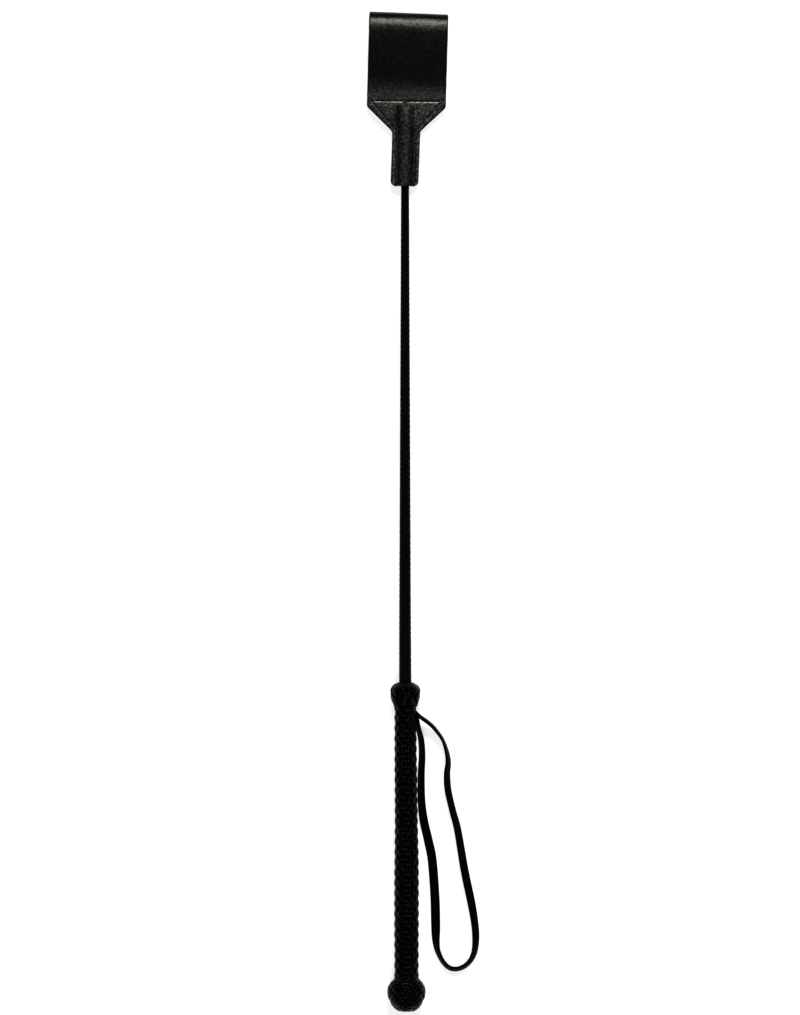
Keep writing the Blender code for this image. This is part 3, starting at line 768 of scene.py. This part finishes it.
def lay_row(across, trim, part, side, along, height):
    """One row of the strip's middle: its points in the world, its x, its place along the keeper, the leather's
    thickness, each point's place over the rod, from -1 to 1, and how far the edge has rolled away."""
    y = along if part == "socket" else along + FLEX_LINE
    half = half_width(min(y, 65.0)) - ROUNDING
    sheet = mix(SOCKET_LEATHER, FLAP_LEATHER, smoothstep(54.0, 62.0, y))
    if part == "socket":
        centre = -along * math.tan(KEEPER_LEAN)
        ridge = min(RIDGE_HALF_WIDTH, half - 0.2)
        beside = np.sign(across) * mix(ridge, half, (np.abs(across) - OVER_ROD) / (1 - OVER_ROD))
        crowded = np.where(np.abs(across) < OVER_ROD, centre + ridge * across / OVER_ROD,
                           beside + centre * (1 - np.abs(across)) / (1 - OVER_ROD))
        x = mix(crowded, half * across, smoothstep(44.0, 58.0, along))
        over_rod = (x - centre) / RIDGE_HALF_WIDTH
        ridge_shape = (1 - np.clip(over_rod, -1, 1) ** 2) ** 1.25
        z = side * (LEAF_GAP / 2 + sheet / 2 + crest_height(along) * ridge_shape + height)
        flap_share = smoothstep(55.5, FLEX_LINE, y) * 0.5
    else:
        x = half * across
        over_rod = np.full(len(across), 9.0)  # the rod ends before the flap
        z = np.full(len(across), height)
        flap_share = 0.5 + 0.5 * smoothstep(0.0, 5.0, along)
    # The pressed edge rolls away over a width that is greatest along the funnel
    along_funnel = smoothstep(SLEEVE_END, SLEEVE_END + 3.0, y) * smoothstep(FUNNEL_END + 1.5, FUNNEL_END - 1.0, y)
    from_edge = (half + ROUNDING - np.abs(x)) * mix(1.0, 0.69, along_funnel)
    roll_off = np.clip(1 - from_edge / mix(0.8, 1.7, along_funnel), 0, 1)
    # The edges were trimmed by hand
    x = x + np.where(across < 0, trim[0], trim[1]) * smoothstep(0.8, 1.0, np.abs(across))
    flat_y = np.full(len(across), y)
    if part == "socket":
        x = x - 0.5 * smoothstep(32.0, 0.0, along)  # the sleeve sits a little askew
    else:
        flat_y = flat_y - 0.0125 * x * smoothstep(15.0, FLAP_LENGTH, along)  # and the fold isn't square
    in_keeper = to_world(np.stack([x, flat_y, z], axis=1), KEEPER)
    in_flap = to_world(np.stack([x, flat_y - FLEX_LINE, z], axis=1), FLAP)
    return mix(in_keeper, in_flap, flap_share), x, flat_y, sheet, over_rod, roll_off


def seam_relief(x, flat_y, y, side, over_rod, roll_off, wrinkles):
    """How far one row's outer face stands out round the seams, and how open its grain is and how grey the tops of
    its pebbles are, a grey that holds painted sheen and painted shade.
    """
    gap, where = to_stitching(x, flat_y)
    hole = (0.5 + 0.5 * np.cos(2 * math.pi * where / STITCH_PITCH)) ** 2
    groove = -(0.24 + 0.30 * hole) * np.exp(-((gap / 0.50) ** 2))
    puff = (0.46 - 0.38 * hole) * np.exp(-(((gap - 1.45) / 0.80) ** 2))
    # The mouth's lip rises from its seam as a facet that was rubbed smooth, and falls away behind
    at_mouth = smoothstep(23.9, 23.2, np.abs(x)) * smoothstep(0.9, 1.9, np.abs(x + 0.8))
    behind = STITCH_LINE - y
    facet = smoothstep(0.1, 0.4, behind) * smoothstep(2.0, 1.7, behind) * at_mouth * (side > 0)
    lip = 0.50 * np.clip((behind - 0.15) / 1.6, 0, 1) * smoothstep(6.5, 1.8, behind)
    # Behind it the leather is stretched like a tent between the mouth, the rod and the funnel's seams
    (low_x, low_y), (high_x, high_y) = stitch_corners()[1:3]
    run, rise = high_x - low_x, high_y - low_y
    in_funnel = ((y - low_y) * run - (np.abs(x) - low_x) * rise) / math.hypot(run, rise)
    beside_rod = smoothstep(RIDGE_HALF_WIDTH - 0.4, RIDGE_HALF_WIDTH + 3.0, np.abs(x))
    tent = 0.16 * np.clip(behind - 1.5, 0, 4.5) * smoothstep(0.3, 4.5, in_funnel) * beside_rod
    puff = puff * (1 - smoothstep(53.4, 54.6, y) * at_mouth)
    on_tube = smoothstep(1.05, 0.7, np.abs(over_rod)) * smoothstep(56.0, 52.0, y)
    detail = groove + puff + (lip + tent) * at_mouth * (side > 0) + 0.07 * wrinkles * on_tube
    detail -= 0.75 * (1 - np.sqrt(1 - roll_off**2 * 0.98))
    # On the puffs along the seams, the triangles next to the mouth and the rod's crest the grain is opened and the
    # tops of its pebbles greyed, partly as wear and partly as a painted sheen where the soft boxes catch the leather.
    # More grey on the rod's right flank is painted light from the right, and less grey left of the rod is painted
    # shade.
    crest = smoothstep(0.55, 0.15, np.abs(over_rod))
    puff_painted_sheen = smoothstep(0.5, 1.0, gap) * smoothstep(2.3, 1.6, gap) * (1.4 - hole) * (in_funnel < 0)
    triangle = smoothstep(0.0, 2.0, in_funnel) * (0.2 + 0.7 * smoothstep(42.0, 52.0, y))
    left_painted_shade = 0.7 * smoothstep(15.0, 8.0, np.abs(x)) * (x < 0) * smoothstep(0.0, 2.0, in_funnel)
    coarse = (1.0 + puff_painted_sheen + triangle - left_painted_shade) * (1 - on_tube) * (1 - roll_off)
    # Along the rod: painted sheen on its crest and painted light on its right flank
    coarse += on_tube * (0.2 + 0.65 * crest + 0.4 * (x > 0) * smoothstep(36.0, 42.0, y) * (1 - crest))
    coarse *= smoothstep(STITCH_LINE + 1.0, STITCH_LINE - 1.0, y)
    return detail, mix(coarse, -0.75, facet)


def strip_faces(row_count):
    """Faces of the strip, whose rings run over the outer face, the right rim, the inner face and the left rim, with
    both its cut ends closed."""
    total = 2 * (COLUMNS + RIM)
    faces = grid_faces(row_count, total, True)
    inner = COLUMNS + RIM
    for row, flip in ((0, 1), (row_count - 1, -1)):
        base = row * total
        for c in range(COLUMNS - 1):
            opposite = inner + COLUMNS - 1 - c
            face = [base + c, base + c + 1, base + opposite - 1, base + opposite]
            faces.append(face[::flip])
        right_rim = [base + COLUMNS - 1 + i for i in range(RIM + 2)]
        left_rim = [base + inner + COLUMNS - 1 + i for i in range(RIM + 1)] + [base]
        faces += [right_rim[::flip], left_rim[::flip]]
    return faces


def make_keeper():
    """The keeper's leather: one strip from the sleeve up the front, over the tip and down the back."""
    rows = keeper_rows()
    shape = (len(rows), COLUMNS)
    across = np.linspace(-1, 1, COLUMNS)
    middle, thickness = np.zeros((*shape, 3)), np.zeros((len(rows), 1))
    detail, coarse, flat_x = np.zeros(shape), np.zeros(shape), np.zeros(shape)
    wrinkles = soft_noise(shape, (200, 14), 25)
    trim = 0.10 * soft_noise((len(rows), 2), (70, 1), 23) + 0.05 * soft_noise((len(rows), 2), (190, 1), 24)
    for number, (part, side, along, height) in enumerate(rows):
        y = along if part == "socket" else along + FLEX_LINE
        laid = lay_row(across, trim[number], part, side, along, height)
        middle[number], flat_x[number], flat_y, thickness[number], over_rod, roll_off = laid
        if y < SEAMS_REACH:
            relief = seam_relief(flat_x[number], flat_y, y, side, over_rod, roll_off, wrinkles[number])
            detail[number], coarse[number] = relief
        # The flap's face is greyed and its grain opened over its first 15 mm past the seam, a painted sheen where the
        # near box lights the lower flap
        coarse[number] += 0.8 * smoothstep(STITCH_LINE + 15.0, STITCH_LINE, y) * (y > STITCH_LINE - 0.2)
    # A shallow unevenness, so that the faces don't mirror like plates
    detail += 0.10 * soft_noise(shape, (34, 7), 21) + 0.035 * soft_noise(shape, (150, 44), 22)

    normal = unit(np.cross(np.gradient(middle, axis=1), np.gradient(middle, axis=0)))
    outer = middle + normal * (thickness / 2 + detail)[..., None] * MM
    inner = middle - normal * (thickness / 2)[..., None] * MM

    def rim(last, before):
        """Three points round an edge, from the outer face to the inner one."""
        out = middle[:, last] + unit(middle[:, last] - middle[:, before]) * ROUNDING * MM
        third = (out - middle[:, last]) * 0.28
        return [mix(outer[:, last], out, 0.5) + third, out, mix(inner[:, last], out, 0.5) + third]

    right, left = np.stack(rim(-1, -2), axis=1), np.stack(rim(0, 1)[::-1], axis=1)
    ring = np.concatenate([outer, right, inner[:, ::-1], left], axis=1)

    def around(values):
        """A face's values, carried on round the rims and the other face."""
        return np.concatenate([values, np.repeat(values[:, -1:], RIM, axis=1), values[:, ::-1],
                               np.repeat(values[:, :1], RIM, axis=1)], axis=1)

    steps = np.linalg.norm(np.diff(middle[:, COLUMNS // 2], axis=0), axis=1)
    down_rim, on_face = np.array([0.4, 0.8, 1.2]), np.zeros(COLUMNS)
    lie = np.zeros_like(ring)
    lie[..., 0] = around(flat_x) * MM
    lie[..., 1] = np.concatenate([[0], np.cumsum(steps)])[:, None]
    lie[..., 2] = np.concatenate([on_face, down_rim, on_face + 1.6, down_rim[::-1]]) * MM
    edge = np.tile(np.concatenate([on_face, np.ones(RIM), on_face, np.ones(RIM)]), (len(rows), 1))
    piece = make_piece("keeper_leather", ring.reshape(-1, 3), strip_faces(len(rows)), GRAIN,
                       lie.reshape(-1, 3), edge.reshape(-1), around(coarse).reshape(-1))
    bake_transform(piece)
    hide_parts("socket_front", "socket_back", "keeper_flap")


def make_stitches():
    """Separate stitches of twisted thread, each dipping into its holes."""
    corners = stitch_corners()
    ends = np.concatenate([[0], np.cumsum([math.dist(a, b) for a, b in zip(corners, corners[1:])])])
    xs, ys = np.transpose(corners)
    count = round(ends[-1] / STITCH_PITCH)
    pitch = ends[-1] / count
    margin, sunk, arched, off_middle, turns = 0.35, 0.62, 0.50, 0.19, 1.6
    share = np.linspace(0, 1, 13)
    lifted = np.sin(math.pi * share) ** 0.5
    off = off_middle * (0.35 + 0.65 * lifted)[:, None]  # the plies lie closer together in the holes
    shape = round_section(7, 0.24)
    for side, name, node in ((1, "stitches_front", "stitching_front"), (-1, "stitches_back", "stitching_back")):
        outward = np.tile([0.0, 0.0, float(side)], (len(share), 1))
        height = side * (LEAF_GAP / 2 + SOCKET_LEATHER - sunk + arched * lifted)
        parts = []
        for number in range(count):
            where = number * pitch + margin + share * (pitch - 2 * margin)
            centre = np.stack([np.interp(where, ends, xs), np.interp(where, ends, ys), height], axis=1)
            sideways = unit(np.cross(np.gradient(centre, axis=0), outward))
            for ply in (0, 1):
                phase = (ply * math.pi + share * 2 * math.pi * turns)[:, None]
                strand = centre + sideways * off * np.cos(phase) + outward * off * np.sin(phase)
                parts.append(sweep(strand, sideways, outward, shape))
        piece = make_swept(name, parts, KEEPER, THREAD)
        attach(piece, "crop")
        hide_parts(node)


# The wrist strap ------------------------------

STRAP_WIDTH, STRAP_THICKNESS = 5.9, 1.8
GATHERED = 0.62  # the share of its width that shows where the ends are gathered
CRISP = (0.05, 0.22, 0.30)  # the crown of a cut lace, and how crisp its corners are
CROP_LENGTH, LAY_DOWN_SLOPE = 660.0, 0.013
# (across from the rod's axis, along from the butt, height of the lower edge, roll in degrees), with roll 0
# where the lace lies flat and 90 where it stands on its edge
STRAP_LAY = [
    (7.7, 196.8, 9.2, 72), (7.8, 193.4, 7.6, 70), (8.5, 188.2, 4.9, 68), (10.5, 179.8, 2.5, 62),
    (11.1, 169.6, 1.1, 57), (10.5, 156.4, 0.4, 51), (10.7, 139.8, 0.3, 45), (12.2, 126.6, 0.3, 29),
    (15.2, 113.4, 0.3, 22), (17.8, 100.1, 0.3, 8), (19.6, 76.0, 0.3, 0), (20.1, 57.1, 0.3, 18),
    (20.3, 47.2, 0.3, 49), (21.5, 40.1, 0.3, 66), (25.0, 33.1, 0.3, 71), (29.3, 29.1, 0.3, 69),
    (34.3, 28.4, 0.3, 69), (39.5, 30.5, 0.3, 69), (43.6, 34.8, 0.3, 67), (46.0, 41.1, 0.3, 60),
    (46.6, 50.5, 0.3, 51), (45.6, 61.0, 0.3, 47), (43.3, 74.0, 0.3, 42), (39.2, 93.5, 0.3, 42),
    (34.7, 120.0, 0.3, 50), (31.3, 133.2, 0.3, 54), (28.3, 146.4, 0.3, 54), (27.6, 157.0, 0.3, 58),
    (28.3, 167.0, 0.4, 69), (25.2, 178.8, 1.2, 83), (19.5, 187.2, 2.9, 81), (14.8, 191.7, 5.2, 79),
    (11.2, 194.3, 7.2, 77), (8.0, 196.8, 8.6, 76),
]


def smooth_run(values, per_span):
    """A Catmull-Rom curve through rows of values."""
    padded = np.concatenate([values[:1], values, values[-1:]])
    share = np.linspace(0, 1, per_span, endpoint=False)[:, None]
    out = []
    for i in range(1, len(padded) - 2):
        a, b, c, d = padded[i - 1], padded[i], padded[i + 1], padded[i + 2]
        out.append(0.5 * (2 * b + (c - a) * share + (2 * a - 5 * b + 4 * c - d) * share**2
                          + (3 * b - a - 3 * c + d) * share**3))
    out.append(values[-1:])
    return np.concatenate(out)


def rolled_frame(centre, roll):
    """A lace's across and outward directions along its middle line, rolled from flat by an angle."""
    ahead = unit(np.gradient(centre, axis=0))
    level = unit(np.cross(ahead, [0.0, 0.0, 1.0]))
    across = level * np.cos(roll) + np.cross(ahead, level) * np.sin(roll)
    return across, np.cross(across, ahead)


def make_strap():
    """One flat lace, twisting between lying flat and standing on its edge. Its ends are gathered at the root."""
    cosine = math.cos(math.atan(LAY_DOWN_SLOPE))
    lay = np.array(STRAP_LAY, dtype=float)
    last = len(lay) - 1
    share = np.array([min(1.0, GATHERED + 0.22 * min(i, last - i)) for i in range(len(lay))])
    roll = np.radians(lay[:, 3])
    height = lay[:, 2] + (STRAP_WIDTH * share * np.sin(roll) + STRAP_THICKNESS * np.cos(roll)) / 2
    values = np.stack([lay[:, 0], lay[:, 1] * cosine - CROP_LENGTH / 2, height, roll, share], axis=1)
    run = smooth_run(values, 9)
    centre, share = run[:, :3], np.clip(run[:, 4], GATHERED, 1.0)
    across, outward = rolled_frame(centre, run[:, 3:4])
    # The edges wander a little where the lace was cut by hand
    share = share * (1 + 0.022 * wander(len(run), 46, 31))
    shape = section(28, STRAP_WIDTH, STRAP_THICKNESS - 0.04, *CRISP)
    parts = [sweep(centre, across, outward, shape, share)]
    piece = make_swept("strap_lace", parts, SURFACE, LACE)
    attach(piece, "strap")
    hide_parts("strap_loop")


def make_strap_root():
    """Where the lace comes out: its two ends pass between the top strands of the plait, and a turn of lace at the
    swivel point binds them together."""
    pivot = np.array(joints["strap_swing"]["pos_m"]) / MM
    bound = pivot + [-0.6, -1.3, 0.0]  # the two legs meet just below the swivel point
    turn = full_turn(26)
    parts = []
    for tilt, radius, twist in ((12.0, 0.80, 0.0), (74.0, 0.88, 20.0), (-58.0, 0.84, 75.0)):
        spin = Matrix.Rotation(math.radians(twist), 3, "Z") @ Matrix.Rotation(math.radians(tilt), 3, "X")
        ring = np.stack([radius * np.cos(turn), radius * np.sin(turn), 0 * turn], axis=1) @ np.array(spin).T
        across = np.tile(np.array(spin @ Vector((0, 0, 1))), (len(turn), 1))
        parts.append(sweep(ring + bound, across, unit(ring), section(10, 1.1, 0.4, 0.1), closed=True))
    binding = make_swept("strap_binding", parts, SURFACE, LACE)
    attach(binding, "strap_swivel")
    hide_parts("strap_root")

    parts = []
    for inside, roll in (((5.4, 199.6, -0.6), 74), ((5.2, 198.9, 1.0), 80)):
        # Both ends stop inside the binding
        share = np.linspace(0, 1, 9)[:, None]
        start = to_world(np.array(inside), CROP) / MM
        centre = start * (1 - share) + bound * share
        centre[:, 2] += 0.5 * np.sin(math.pi * share[:, 0])
        parts.append(sweep(centre, *rolled_frame(centre, math.radians(roll)), section(20, 4.0, 1.7, *CRISP)))
    stubs = make_swept("strap_ends", parts, SURFACE, LACE)
    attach(stubs, "crop")


# Floor, light and camera ------------------------------


def make_floor():
    """A plain pale light table, lit a little from below, that runs far enough back for any view."""
    mesh = bpy.data.meshes.new("floor")
    reach = 40.0
    mesh.from_pydata([(x * reach, y * reach, 0) for x, y in ((-1, -1), (1, -1), (1, 1), (-1, 1))], [], [(0, 1, 2, 3)])
    floor = bpy.data.objects.new("floor", mesh)
    bpy.context.scene.collection.objects.link(floor)
    nodes = Nodes("pale_paper")
    place = nodes.add("TexCoord").outputs["Object"]
    fibre = nodes.noise(place, 900.0, 3.0)
    colour = nodes.ramp(fibre, [(0.3, (0.90, 0.90, 0.895)), (0.7, (0.93, 0.93, 0.925))])
    gloss = nodes.ramp(fibre, [(0.3, 0.85), (0.7, 0.95)])
    normal = nodes.bump(fibre, 0.00002, 0.3)
    table = nodes.finish(colour, gloss, normal, Specular_IOR_Level=0.1, Emission_Strength=0.80)
    nodes.tree.links.new(colour, nodes.shader.inputs["Emission Color"])
    mesh.materials.append(table)


def add_light(name, location, size, energy, target=(0, 0, 0.01)):
    light = bpy.data.lights.new(name, "AREA")
    light.shape = "RECTANGLE"
    light.size, light.size_y = size
    light.energy = energy
    made = bpy.data.objects.new(name, light)
    made.location = location
    made.rotation_euler = (Vector(target) - Vector(location)).to_track_quat("-Z", "Y").to_euler()
    bpy.context.scene.collection.objects.link(made)


def make_light():
    """Two soft boxes, one above and beyond the keeper and a weaker one beyond the pommel. Nothing hangs straight
    overhead or at the sides, so the leather's flat faces and the flanks of the handle stay black."""
    glow = 0.012
    add_light("far_box", (0.50, 3.40, 4.20), (1.95, 1.06), 117)
    add_light("near_box", (-0.20, -2.45, 4.40), (1.75, 0.8), 46)
    world = bpy.data.worlds.new("studio")
    bpy.context.scene.world = world
    world.use_nodes = True
    background = world.node_tree.nodes["Background"]
    background.inputs["Color"].default_value = (glow, glow, glow, 1)
    background.inputs["Strength"].default_value = 1.0


def make_camera():
    """Straight down, from far enough for the crop to look flat. The distance is counted from its mid height."""
    data = bpy.data.cameras.new("camera")
    camera = bpy.data.objects.new("camera", data)
    distance, framed_height, mid_height, off_centre = 5.0, 0.6705, 0.008, 0.0035
    data.sensor_width = 36.0
    data.lens = data.sensor_width * distance / framed_height
    data.clip_start, data.clip_end = 0.1, 100.0
    camera.location = (-off_centre, off_centre, distance + mid_height)
    bpy.context.scene.collection.objects.link(camera)
    bpy.context.scene.camera = camera


dress_hidden_pieces()
make_shaft_braid()
make_shaft_lint()
make_plait()
make_pommel()
make_collar()
make_keeper()
make_stitches()
make_strap()
make_strap_root()
make_floor()
make_light()
make_camera()
bpy.context.scene.view_settings.view_transform = "Standard"
bpy.context.scene.view_settings.gamma = 0.8
